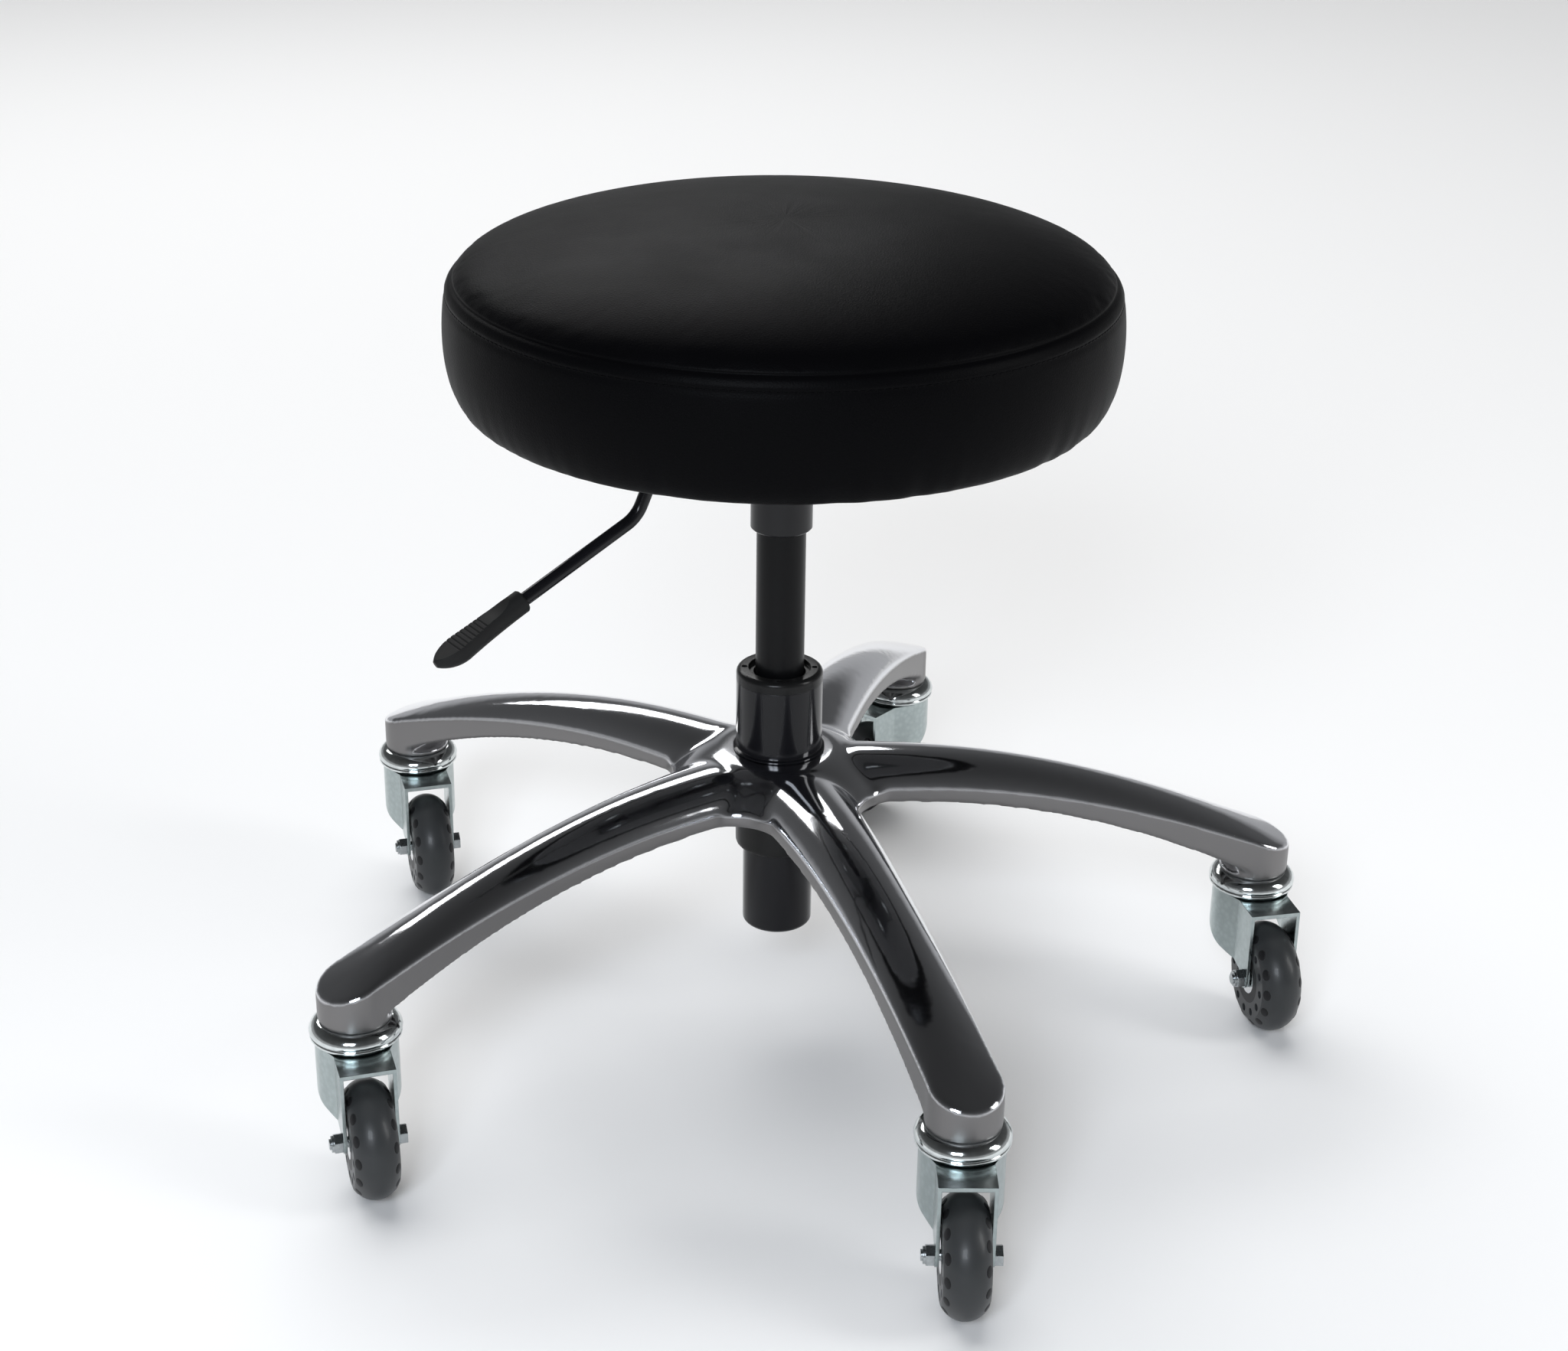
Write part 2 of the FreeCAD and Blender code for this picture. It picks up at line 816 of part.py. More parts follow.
def make_seat_socket():
    """Tapered socket: its bore is the cylinder's own taper."""
    top = socket_bottom + socket_length
    mouth = cylinder_radius + fit_gap
    return turned(
        [
            (mouth, socket_bottom),
            (socket_radius - 1.0, socket_bottom),
            (socket_radius, socket_bottom + 1.0),
            (socket_radius, top),
            (taper_radius(top), top),
            (cylinder_radius, cylinder_taper),
            (mouth, cylinder_taper - 0.1),
        ]
    )


def lever_corners():
    """Centre line of the lever rod in its own upright plane: end, two bends, and the end in the grip."""
    slope = math.radians(lever_slope)
    low = lever_level - lever_dip
    reach = lever_run + grip_bore
    end = (lever_second_bend + reach * math.cos(slope), low - reach * math.sin(slope))
    return [(lever_inner_end, lever_level), (lever_first_bend, lever_level), (lever_second_bend, low), end]


def bent_rod(corners, bends, radius):
    """A round rod along straight runs joined by tangent arcs."""
    points = [V(x, 0, z) for x, z in corners]
    edges = []
    here = points[0]
    for corner, after, bend in zip(points[1:-1], points[2:], bends):
        into = (corner - here).normalize()
        out = (after - corner).normalize()
        turn = into.getAngle(out)
        cut_back = bend * math.tan(turn / 2)
        start = corner - into * cut_back
        stop = corner + out * cut_back
        inward = (out - into).normalize()
        middle = corner + inward * (bend / math.cos(turn / 2) - bend)
        edges.append(Part.makeLine(here, start))
        edges.append(Part.Arc(start, middle, stop).toShape())
        here = stop
    edges.append(Part.makeLine(here, points[-1]))
    path = Part.Wire(edges)
    section = Part.Wire(Part.makeCircle(radius, points[0], points[1] - points[0]))
    return path.makePipeShell([section], True, False)


def make_lever_rod():
    lever = bent_rod(lever_corners(), (lever_first_bend_radius, lever_second_bend_radius), lever_radius)
    return moved(lever, turn=lever_heading)


def make_lever_pivot():
    half = pivot_block / 2
    body = block((-half, -half, -half), (half, half, half))
    along_y = [e for e in body.Edges if abs(e.Vertexes[0].Y - e.Vertexes[-1].Y) > half]
    body = body.makeFillet(pivot_round, along_y)
    reach = housing_half_width + trunnion_end
    body = body.fuse(cross_rod(trunnion_radius, -reach, reach))
    body = body.cut(Part.makeCylinder(lever_radius, 4 * half, V(-2 * half, 0, 0), V(1, 0, 0)))
    return moved(body.translated(V(lever_pivot_reach, 0, lever_level)), turn=lever_heading)


def make_lever_grip():
    """A paddle turned about the rod's last run, scooped flat and ribbed on its upper side."""
    tip = grip_length
    wide = grip_widest_radius
    body = turned(
        [
            (0, 0),
            (grip_collar_radius - 0.8, 0),
            (grip_collar_radius, 0.9),
            ((grip_collar_radius + 0.5, 0.35 * tip), (wide, 0.68 * tip)),
            ((wide - 1.6, 0.88 * tip), (2.0, tip)),
            (0, tip),
        ]
    )
    body.rotate(V(0, 0, 0), V(0, 1, 0), 90)
    scoop = outline(
        [
            (0.08 * tip, 20),
            (0.08 * tip, grip_collar_radius + 1),
            ((0.19 * tip, grip_flat + 0.9), (scoop_start * tip, grip_flat)),
            (tip + 5, grip_flat - grip_fall),
            (tip + 5, 20),
        ]
    )
    scoop.translate(V(0, -20, 0))
    body = body.cut(Part.Face(scoop).extrude(V(0, 40, 0)))
    groove = cross_rod(grip_groove, -20, 20)
    slope = grip_fall / (tip - scoop_start * tip + 5)
    for k in range(grip_ribs):
        x = ribs_start * tip + k * grip_rib_pitch
        flat = grip_flat - slope * (x - scoop_start * tip)
        body = body.cut(groove.translated(V(x, 0, flat + grip_groove_lift)))
    body = body.cut(Part.makeCylinder(lever_radius, grip_bore, V(0, 0, 0), V(1, 0, 0)))
    angle = math.radians(lever_slope)
    corner = lever_corners()[2]
    body.rotate(V(0, 0, 0), V(0, 1, 0), lever_slope)
    body.translate(V(corner[0] + lever_run * math.cos(angle), 0, corner[1] - lever_run * math.sin(angle)))
    return moved(body, turn=lever_heading)


# ---------------------------------------------------------------- seat
def smooth_curve(point_at, shares):
    """A smooth curve through the points at those shares of its height."""
    curve = Part.BSplineCurve()
    curve.interpolate([point_at(share) for share in shares])
    return curve.toShape()


def seat_solid(inset):
    """The upholstered seat: a crowned top, an upper seam, an upright side and a side that tucks in below."""
    top = seat_bottom + seat_thickness - inset
    seam_level = seat_bottom + seat_thickness - seat_crown
    seam = seat_seam_radius - inset
    wide = seat_radius - inset
    foot = seat_foot_radius - inset
    low = seat_bottom + inset
    belt_low = seat_bottom + seat_belt_low
    belt_high = seat_bottom + seat_belt_high

    def crown(share):
        radius = seam * (1 - share**crown_edge_power) ** (1 / crown_top_power)
        return V(radius, 0, seam_level + (top - seam_level) * share)

    def tuck(share):
        radius = foot + (wide - foot) * (1 - share**tuck_power) ** (1 / tuck_power)
        return V(radius, 0, belt_low - (belt_low - low) * share)

    above = smooth_curve(crown, (1, 0.985, 0.93, 0.82, 0.66, 0.46, 0.26, 0.1, 0))
    below = smooth_curve(tuck, (0, 0.3, 0.6, 0.85, 1))
    bulge = V(wide - shoulder_draw, 0, (seam_level + belt_high) / 2)
    shoulder = Part.Arc(V(seam, 0, seam_level), bulge, V(wide, 0, belt_high)).toShape()
    upright = Part.makeLine(V(wide, 0, belt_high), V(wide, 0, belt_low))
    base = Part.makePolygon([V(foot, 0, low), V(0, 0, low), V(0, 0, top)])
    wire = Part.Wire([above, shoulder, upright, below] + base.Edges)
    return Part.Face(wire).revolve(V(0, 0, 0), V(0, 0, 1), 360)


def make_seat_board():
    board = rod(board_radius, board_bottom, board_top)
    for hole in at_screws(rod(t_nut_barrel, board_bottom - 1, board_top + 1)):
        board = board.cut(moved(hole, turn=lever_heading))
    return board


def make_t_nuts():
    flange = rod(t_nut_radius, board_top, board_top + t_nut_flange)
    barrel = rod(t_nut_barrel, board_bottom + t_nut_sink, board_top)
    nut = flange.fuse(barrel).cut(rod(screw_radius, board_bottom, board_top + t_nut_flange))
    return moved(group(at_screws(nut)), turn=lever_heading)


def make_plate_screws():
    shank = rod(screw_radius, plate_bottom, board_top)
    head_low = plate_bottom - screw_head
    head = turned(
        [
            (0, plate_bottom),
            (screw_head_radius, plate_bottom),
            ((0.75 * screw_head_radius, plate_bottom - 0.8 * screw_head), (0, head_low)),
        ]
    )
    half = screw_recess_side / 2
    recess = block((-half, -half, head_low - 1), (half, half, head_low + screw_recess))
    return moved(group(at_screws(shank.fuse(head).cut(recess))), turn=lever_heading)


def make_seat_foam():
    foam = seat_solid(cover_thickness).cut(rod(board_radius, seat_bottom, board_top))
    pocket = rod(t_nut_radius, board_top - 1, board_top + t_nut_flange)
    for hole in at_screws(pocket):
        foam = foam.cut(moved(hole, turn=lever_heading))
    return foam


def make_seat_cover():
    open_radius = seat_foot_radius - cover_turn_in
    opening = rod(open_radius, seat_bottom - 1, board_bottom)
    return seat_solid(0).cut(seat_solid(cover_thickness)).cut(opening)


def make_dust_cover():
    cover = rod(dust_cover_radius, plate_top, seat_bottom)
    for hole in at_screws(rod(screw_radius, plate_top - 1, seat_bottom + 1)):
        cover = cover.cut(moved(hole, turn=lever_heading))
    return cover


# ---------------------------------------------------------------- build
def main():
    os.makedirs("parts", exist_ok=True)
    save("base_casting", make_base_casting())
    save("column_tube", make_column_tube())
    save("column_cap", make_column_cap())
    save("guide_bush", make_guide_bush())
    save("column_end_plate", make_end_plate())
    save("lower_thrust_washer", make_thrust_washer(end_plate_top))
    save("upper_thrust_washer", make_thrust_washer(upper_washer_bottom))
    save("thrust_balls", make_thrust_balls())
    save("rod_clip", make_rod_clip())
    save("piston_rod", make_piston_rod())
    save("piston", make_piston())
    save("gas_cylinder", make_gas_cylinder())
    save("rod_guide", make_rod_guide())
    save("release_pin", make_release_pin())
    save("seat_plate", make_seat_plate())
    save("seat_socket", make_seat_socket())
    save("lever_rod", make_lever_rod())
    save("lever_pivot", make_lever_pivot())
    save("lever_grip", make_lever_grip())
    save("seat_board", make_seat_board())
    save("t_nuts", make_t_nuts())
    save("plate_screws", make_plate_screws())
    save("seat_foam", make_seat_foam())
    save("seat_cover", make_seat_cover())
    save("dust_cover", make_dust_cover())

    fixed = {
        "race_cups": [make_race_cup()],
        "caster_stems": [make_stem()],
        "stem_grip_rings": [make_grip_ring()],
        "swivel_balls": make_swivel_balls(),
    }
    wheel = {
        "tyre": make_tyre(),
        "wheel_core": make_wheel_core(),
        "wheel_bearings": make_wheel_bearings(),
    }
    turning = {name: shape.translated(V(caster_trail, 0, wheel_radius)) for name, shape in wheel.items()}
    turning.update(fork=make_fork(), axle_bolt=make_axle_bolt(), axle_nut=make_axle_nut())
    gathered = {name: [] for name in fixed}
    for k, place in enumerate(stem_names):
        arm_angle = math.radians(first_arm_angle + 360 * k / arm_count)
        x = arm_reach * math.cos(arm_angle)
        y = arm_reach * math.sin(arm_angle)
        for name, shapes in fixed.items():
            gathered[name] += [moved(shape, x, y) for shape in shapes]
        for name, shape in turning.items():
            save(name + "_" + place, moved(shape, x, y, turn=caster_headings[k]))
    for name, shapes in gathered.items():
        save(name, group(shapes))


main()
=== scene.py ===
import json
import math
import random

import bpy
from mathutils import Matrix, Vector


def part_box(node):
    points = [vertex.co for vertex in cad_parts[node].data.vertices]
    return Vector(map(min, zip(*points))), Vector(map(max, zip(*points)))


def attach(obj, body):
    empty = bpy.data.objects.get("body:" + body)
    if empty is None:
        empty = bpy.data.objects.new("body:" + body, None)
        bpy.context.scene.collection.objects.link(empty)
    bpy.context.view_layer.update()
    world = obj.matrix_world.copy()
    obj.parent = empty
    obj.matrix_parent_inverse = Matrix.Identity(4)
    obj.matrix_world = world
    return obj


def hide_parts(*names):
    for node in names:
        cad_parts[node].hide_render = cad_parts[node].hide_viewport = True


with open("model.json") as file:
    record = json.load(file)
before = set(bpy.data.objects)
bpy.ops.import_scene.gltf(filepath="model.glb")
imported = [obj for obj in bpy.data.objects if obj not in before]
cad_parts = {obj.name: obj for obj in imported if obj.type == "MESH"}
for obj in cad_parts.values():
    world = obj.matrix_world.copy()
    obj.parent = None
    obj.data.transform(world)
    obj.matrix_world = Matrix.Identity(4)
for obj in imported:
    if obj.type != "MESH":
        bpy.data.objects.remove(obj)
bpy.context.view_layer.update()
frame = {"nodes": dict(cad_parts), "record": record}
record = frame["record"]
MM = 0.001
HUB_BOSS_RADIUS = 27 * MM
HUB_BOSS_LEVEL = 140 * MM


# ---------------------------------------------------------------- shader helpers
class Shader:
    """A Principled material with short ways to add the nodes used here."""

    def __init__(self, name, **values):
        self.material = bpy.data.materials.new(name)
        self.material.use_nodes = True
        self.nodes = self.material.node_tree.nodes
        self.links = self.material.node_tree.links
        self.main = self.nodes["Principled BSDF"]
        for socket, value in values.items():
            self.main.inputs[socket.replace("_", " ")].default_value = value

    def add(self, kind, **inputs):
        node = self.nodes.new("ShaderNode" + kind)
        for socket, value in inputs.items():
            node.inputs[socket.replace("_", " ")].default_value = value
        return node

    def link(self, source, target):
        self.links.new(source, target)

    def place(self, stretch=(1, 1, 1)):
        """Object coordinates, stretched."""
        coordinates = self.add("TexCoord")
        mapping = self.add("Mapping", Scale=stretch)
        self.link(coordinates.outputs["Object"], mapping.inputs["Vector"])
        return mapping.outputs["Vector"]

    def noise(self, scale, detail=3.0, stretch=(1, 1, 1), roughness=0.5):
        node = self.add("TexNoise", Scale=scale, Detail=detail, Roughness=roughness)
        self.link(self.place(stretch), node.inputs["Vector"])
        return node.outputs["Fac"]

    def cells(self, scale, feature="F1", stretch=(1, 1, 1)):
        node = self.add("TexVoronoi", Scale=scale)
        node.feature = feature
        self.link(self.place(stretch), node.inputs["Vector"])
        return node.outputs["Distance"]

    def spread(self, fac, low, high, start=0.0, stop=1.0):
        """fac from start to stop becomes low to high."""
        node = self.nodes.new("ShaderNodeMapRange")
        for name, value in (("From Min", start), ("From Max", stop), ("To Min", low), ("To Max", high)):
            node.inputs[name].default_value = value
        self.link(fac, node.inputs["Value"])
        return node.outputs["Result"]

    def blend(self, fac, first, second):
        node = self.nodes.new("ShaderNodeMix")
        node.data_type = "RGBA"
        self.link(fac, node.inputs["Factor"])
        for socket, colour in (("A", first), ("B", second)):
            target = [s for s in node.inputs if s.name == socket and s.type == "RGBA"][0]
            if isinstance(colour, tuple):
                target.default_value = (*colour, 1.0)
            else:
                self.link(colour, target)
        return [s for s in node.outputs if s.type == "RGBA"][0]

    def math(self, operation, first, second):
        node = self.nodes.new("ShaderNodeMath")
        node.operation = operation
        for socket, value in zip(node.inputs, (first, second)):
            if isinstance(value, (int, float)):
                socket.default_value = value
            else:
                self.link(value, socket)
        return node.outputs[0]

    def near_axis(self, radius, level):
        """1 inside that radius of the turning axis and below that level, else 0."""
        coordinates = self.add("TexCoord")
        split = self.add("SeparateXYZ")
        self.link(coordinates.outputs["Object"], split.inputs["Vector"])
        x, y, z = (split.outputs[axis] for axis in "XYZ")
        squared = self.math("ADD", self.math("MULTIPLY", x, x), self.math("MULTIPLY", y, y))
        inside = self.math("LESS_THAN", squared, radius**2)
        return self.math("MULTIPLY", inside, self.math("LESS_THAN", z, level))

    def colour(self, value):
        self.link(value, self.main.inputs["Base Color"])

    def rough(self, value):
        self.link(value, self.main.inputs["Roughness"])

    def relief(self, *layers, edge=0.0):
        """Bump from (height, metres, strength) layers, over softened edges of that radius."""
        normal = None
        if edge:
            soft = self.add("Bevel", Radius=edge)
            soft.samples = 6
            normal = soft.outputs["Normal"]
        for height, distance, strength in layers:
            bump = self.add("Bump", Distance=distance, Strength=strength)
            self.link(height, bump.inputs["Height"])
            if normal is not None:
                self.link(normal, bump.inputs["Normal"])
            normal = bump.outputs["Normal"]
        self.link(normal, self.main.inputs["Normal"])


def grey(level, blue=0.0):
    return (level, level, level + blue, 1.0)


# ---------------------------------------------------------------- materials
def polished_aluminium():
    """Buffed bright on top, satin on the side walls, unpolished underneath; the walls and underside are
    also painted darker as painted shade, and the hub bore below the arms is painted near-black as
    painted shade.
    """
    s = Shader("polished aluminium", Metallic=1.0)
    geometry = s.add("NewGeometry")
    split = s.add("SeparateXYZ")
    s.link(geometry.outputs["Normal"], split.inputs["Vector"])
    up = split.outputs["Z"]
    # painted shade: walls and underside get a much darker colour than the tops; the satin finish itself
    # is set by the roughness below
    buffed_and_lit_top = s.spread(up, 0.0, 1.0, 0.12, 0.42)
    tops_bright_walls_shaded = s.blend(buffed_and_lit_top, (0.21, 0.205, 0.205), (0.80, 0.81, 0.84))
    # painted shade: near-black colour inside the hub boss radius and below its level, where the bore
    # lies in shadow under the arms
    s.colour(s.blend(s.near_axis(HUB_BOSS_RADIUS, HUB_BOSS_LEVEL), tops_bright_walls_shaded, (0.03, 0.03, 0.03)))
    side = s.spread(up, 0.30, 0.0, 0.12, 0.42)
    under = s.spread(up, 0.24, 0.0, -0.7, -0.1)
    wear = s.spread(s.noise(26, 4), 0.0, 0.05)
    s.rough(s.math("ADD", s.math("ADD", s.math("ADD", side, under), wear), 0.055))
    grain = s.noise(900, 2)
    wave = s.noise(14, 1)
    s.relief((wave, 0.0006, 0.16), (grain, 0.00005, 0.10), edge=0.0020)
    return s.material


def gloss_paint(name, level, roughness=0.12):
    s = Shader(name, Base_Color=grey(level, 0.0015), Coat_Weight=0.25, Coat_Roughness=0.04)
    s.main.inputs["Specular IOR Level"].default_value = 0.16
    s.rough(s.spread(s.noise(60, 3), roughness, roughness + 0.08))
    s.relief((s.noise(260, 2), 0.00006, 0.12), edge=0.0006)
    return s.material


def satin_cylinder():
    s = Shader("satin gas cylinder", Base_Color=(0.004, 0.004, 0.0045, 1.0), Coat_Weight=0.04)
    s.main.inputs["Specular IOR Level"].default_value = 0.12
    s.rough(s.spread(s.noise(70, 3, (1, 1, 0.15)), 0.26, 0.40))
    s.relief((s.noise(420, 2, (1, 1, 0.05)), 0.00003, 0.18), edge=0.0004)
    return s.material


def plastic(name, level, roughness, edge=0.0005, tint=0.0):
    s = Shader(name, Base_Color=grey(level, tint))
    s.main.inputs["Specular IOR Level"].default_value = 0.18
    s.rough(s.spread(s.noise(90, 3), roughness - 0.05, roughness + 0.07))
    s.relief((s.noise(1300, 2), 0.00004, 0.25), edge=edge)
    return s.material


def plated(name, colour, low, high, spangle, edge=0.0005):
    """Plated or turned steel: metal with faint spangle and handling marks."""
    s = Shader(name, Metallic=1.0)
    patches = s.cells(spangle)
    darker = tuple(0.86 * c for c in colour)
    s.colour(s.blend(s.spread(patches, 0.0, 1.0, 0.1, 0.7), colour, darker))
    s.rough(s.spread(s.noise(120, 4), low, high))
    s.relief((s.noise(500, 2), 0.00004, 0.15), edge=edge)
    return s.material


def vinyl(name="black vinyl"):
    """Coated cloth with a fine pebbled grain."""
    s = Shader(name, Base_Color=(0.0014, 0.0014, 0.0018, 1.0))
    s.main.inputs["Specular IOR Level"].default_value = 0.04
    s.rough(s.spread(s.noise(22, 3), 0.40, 0.52))
    pebble = s.cells(620, "DISTANCE_TO_EDGE")
    fine = s.noise(1500, 2)
    s.relief((s.spread(pebble, 0.0, 1.0, 0.0, 0.35), 0.00012, 0.34), (fine, 0.00005, 0.3))
    return s.material


def plywood():
    s = Shader("birch plywood")
    layers = s.noise(9, 2, (0.6, 0.6, 70))
    grain = s.noise(30, 4, (1, 9, 1))
    tone = s.math("ADD", s.math("MULTIPLY", layers, 0.6), s.math("MULTIPLY", grain, 0.4))
    s.colour(s.blend(s.spread(tone, 0.0, 1.0, 0.35, 0.65), (0.63, 0.46, 0.28), (0.42, 0.28, 0.15)))
    s.rough(s.spread(grain, 0.55, 0.75))
    s.relief((grain, 0.0002, 0.3))
    return s.material


def foam():
    s = Shader("seat foam", Base_Color=(0.72, 0.68, 0.48, 1.0), Roughness=0.95)
    s.relief((s.cells(900), 0.0005, 0.6))
    return s.material


def dust_cloth():
    """Thin black non-woven cloth, thermally dotted."""
    s = Shader("dust cloth", Base_Color=(0.017, 0.017, 0.018, 1.0), Sheen_Weight=0.25, Roughness=0.9)
    s.relief((s.cells(700), 0.0002, 0.5), (s.noise(1400, 3), 0.0001, 0.4))
    return s.material


def smoky_wheel():
    """Cloudy grey polyurethane that lets a little light through."""
    s = Shader("smoky wheel", Roughness=0.38, Transmission_Weight=0.25, IOR=1.35, Coat_Weight=0.06)
    s.colour(s.blend(s.noise(45, 3), (0.060, 0.063, 0.066), (0.034, 0.037, 0.038)))
    s.relief((s.noise(700, 2), 0.00005, 0.2), edge=0.0006)
    return s.material


MATERIALS = {
    "polished_aluminium": polished_aluminium(),
    "column_black": gloss_paint("column paint", 0.006, 0.10),
    "cap_plastic": plastic("cap plastic", 0.010, 0.24),
    "bush_plastic": plastic("nylon", 0.035, 0.45),
    "zinc_steel": plated("zinc plated steel", (0.46, 0.49, 0.50), 0.20, 0.34, 380),
    "cup_chrome": plated("bright race cup", (0.76, 0.80, 0.80), 0.06, 0.14, 240, 0.0007),
    "ball_steel": plated("ground steel", (0.75, 0.76, 0.77), 0.06, 0.12, 300),
    "cylinder_black": satin_cylinder(),
    "plate_black": gloss_paint("plate paint", 0.010, 0.34),
    "plywood": plywood(),
    "foam": foam(),
    "vinyl": vinyl(),
    "dust_cloth": dust_cloth(),
    "lever_black": gloss_paint("lever paint", 0.007, 0.14),
    "grip_rubber": plastic("grip plastic", 0.012, 0.52),
    "fork_zinc": plated("blue zinc fork", (0.43, 0.49, 0.49), 0.16, 0.30, 300),
    "wheel_grey": smoky_wheel(),
    "core_grey": plastic("wheel core", 0.012, 0.42, tint=0.001),
}


# ---------------------------------------------------------------- mesh helpers
def new_mesh(name, vertices, faces, material_slot, body, smooth=True):
    mesh = bpy.data.meshes.new(name)
    mesh.from_pydata([tuple(v) for v in vertices], [], faces)
    mesh.validate()
    obj = bpy.data.objects.new(name, mesh)
    bpy.context.scene.collection.objects.link(obj)
    mesh.polygons.foreach_set("use_smooth", [smooth] * len(mesh.polygons))
    mesh.materials.append(MATERIALS[material_slot])
    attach(obj, body)
    return obj


def lathe(profile, segments, wobble=None):
    """Rings of vertices for an open profile of (radius, height), each with its own small wobble."""
    vertices = []
    faces = []
    for i, (radius, height) in enumerate(profile):
        for k in range(segments):
            angle = 2 * math.pi * k / segments
            out, lift = wobble(i, angle) if wobble else (0.0, 0.0)
            across = radius + out
            vertices.append((across * math.cos(angle), across * math.sin(angle), height + lift))
    for i in range(len(profile) - 1):
        for k in range(segments):
            after = (k + 1) % segments
            low = i * segments
            faces.append((low + k, low + after, low + segments + after, low + segments + k))
    return vertices, faces


def capsule(length, radius, sides=8, rings=3):
    """Points and faces of a capsule along X, centred on the origin."""
    profile = []
    for end in (-1, 1):
        steps = range(rings + 1) if end < 0 else range(rings, -1, -1)
        for step in steps:
            angle = 0.5 * math.pi * step / rings
            along = end * (length / 2 - radius + radius * math.cos(angle))
            profile.append((along, max(radius * math.sin(angle), 0.02 * radius)))
    vertices = []
    for along, across in profile:
        for k in range(sides):
            angle = 2 * math.pi * k / sides
            vertices.append(Vector((along, across * math.cos(angle), across * math.sin(angle))))
    faces = []
    for i in range(len(profile) - 1):
        for k in range(sides):
            after = (k + 1) % sides
            low = i * sides
            faces.append((low + k, low + sides + k, low + sides + after, low + after))
    last = (len(profile) - 1) * sides
    faces.append(tuple(range(sides)))
    faces.append(tuple(last + k for k in reversed(range(sides))))
    return vertices, faces


def many(shape, places):
    """One set of vertices and faces from a shape repeated at each place."""
    vertices, faces = [], []
    base, base_faces = shape
    for place in places:
        start = len(vertices)
        vertices += [place @ v for v in base]
        faces += [tuple(start + i for i in face) for face in base_faces]
    return vertices, faces


# ---------------------------------------------------------------- finishes for the CAD nodes
def dress_cad_nodes():
    slots = {entry["node"]: entry["material_slot"] for entry in record["subparts"]}
    for name, obj in frame["nodes"].items():
        obj.data.materials.clear()
        obj.data.materials.append(MATERIALS[slots[name]])
        obj.data.polygons.foreach_set("use_smooth", [True] * len(obj.data.polygons))
        weld = obj.modifiers.new("weld", "WELD")
        weld.merge_threshold = 0.01 * MM
        split = obj.modifiers.new("edges", "EDGE_SPLIT")
        split.split_angle = math.radians(24)


# ---------------------------------------------------------------- seat
COVER_FULLNESS = 0.9 * MM
cover_low, cover_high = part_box("seat_cover")
SEAT_RADIUS = cover_high.x + COVER_FULLNESS
SEAT_LOW = cover_low[2]
SEAT_HIGH = cover_high[2]
SEAM_RADIUS = SEAT_RADIUS - 6.4 * MM
SEAM_LEVEL = SEAT_HIGH - 30.5 * MM
STITCH_LEVEL = SEAM_LEVEL - 7.5 * MM
BELT_LEVEL = SEAT_LOW + 40.0 * MM
FOOT_RADIUS = SEAT_RADIUS - 16.4 * MM
TURN_IN = 33.0 * MM
CROWN_GAP = 0.4 * MM
UNDER_GAP = 0.3 * MM
SIDE_INSET = 0.5 * MM
STITCH_DRAW = 1.8 * MM
CROWN_TOP_POWER = 2.38
CROWN_EDGE_POWER = 1.63
TUCK_POWER = 2.12
SEGMENTS = 288
COVER_THICKNESS = 1.1 * MM


def crown_profile():
    """The top panel, from the middle out to the upper seam."""
    rise = SEAT_HIGH - SEAM_LEVEL - CROWN_GAP
    points = []
    steps = 30
    for k in range(1, steps + 1):
        share = math.sin(0.5 * math.pi * k / steps)
        across = share ** 0.9
        lift = max(0.0, 1 - across**CROWN_TOP_POWER) ** (1 / CROWN_EDGE_POWER)
        points.append((SEAM_RADIUS * across, SEAM_LEVEL + rise * lift))
    return points


def side_profile():
    """The side band, from the upper seam over the stitched edge, down and in under the seat."""
    points = []
    wide = SEAT_RADIUS - SIDE_INSET
    for k in range(1, 7):
        share = k / 6
        out = SEAM_RADIUS + (wide - STITCH_DRAW - SEAM_RADIUS) * math.sin(0.5 * math.pi * share) ** 0.8
        points.append((out, SEAM_LEVEL - share * (SEAM_LEVEL - STITCH_LEVEL)))
    for k in range(1, 9):
        share = k / 8
        out = wide - STITCH_DRAW * (1 - share) ** 2
        points.append((out, STITCH_LEVEL - share * (STITCH_LEVEL - BELT_LEVEL)))
    for k in range(1, 15):
        share = math.sin(0.5 * math.pi * k / 14)
        inset = (1 - max(0.0, 1 - share**TUCK_POWER) ** (1 / TUCK_POWER)) * (wide - FOOT_RADIUS)
        points.append((wide - inset, BELT_LEVEL - share * (BELT_LEVEL - SEAT_LOW - UNDER_GAP)))
    for k in range(1, 6):
        points.append((FOOT_RADIUS - TURN_IN * k / 5, SEAT_LOW + UNDER_GAP))
    return points


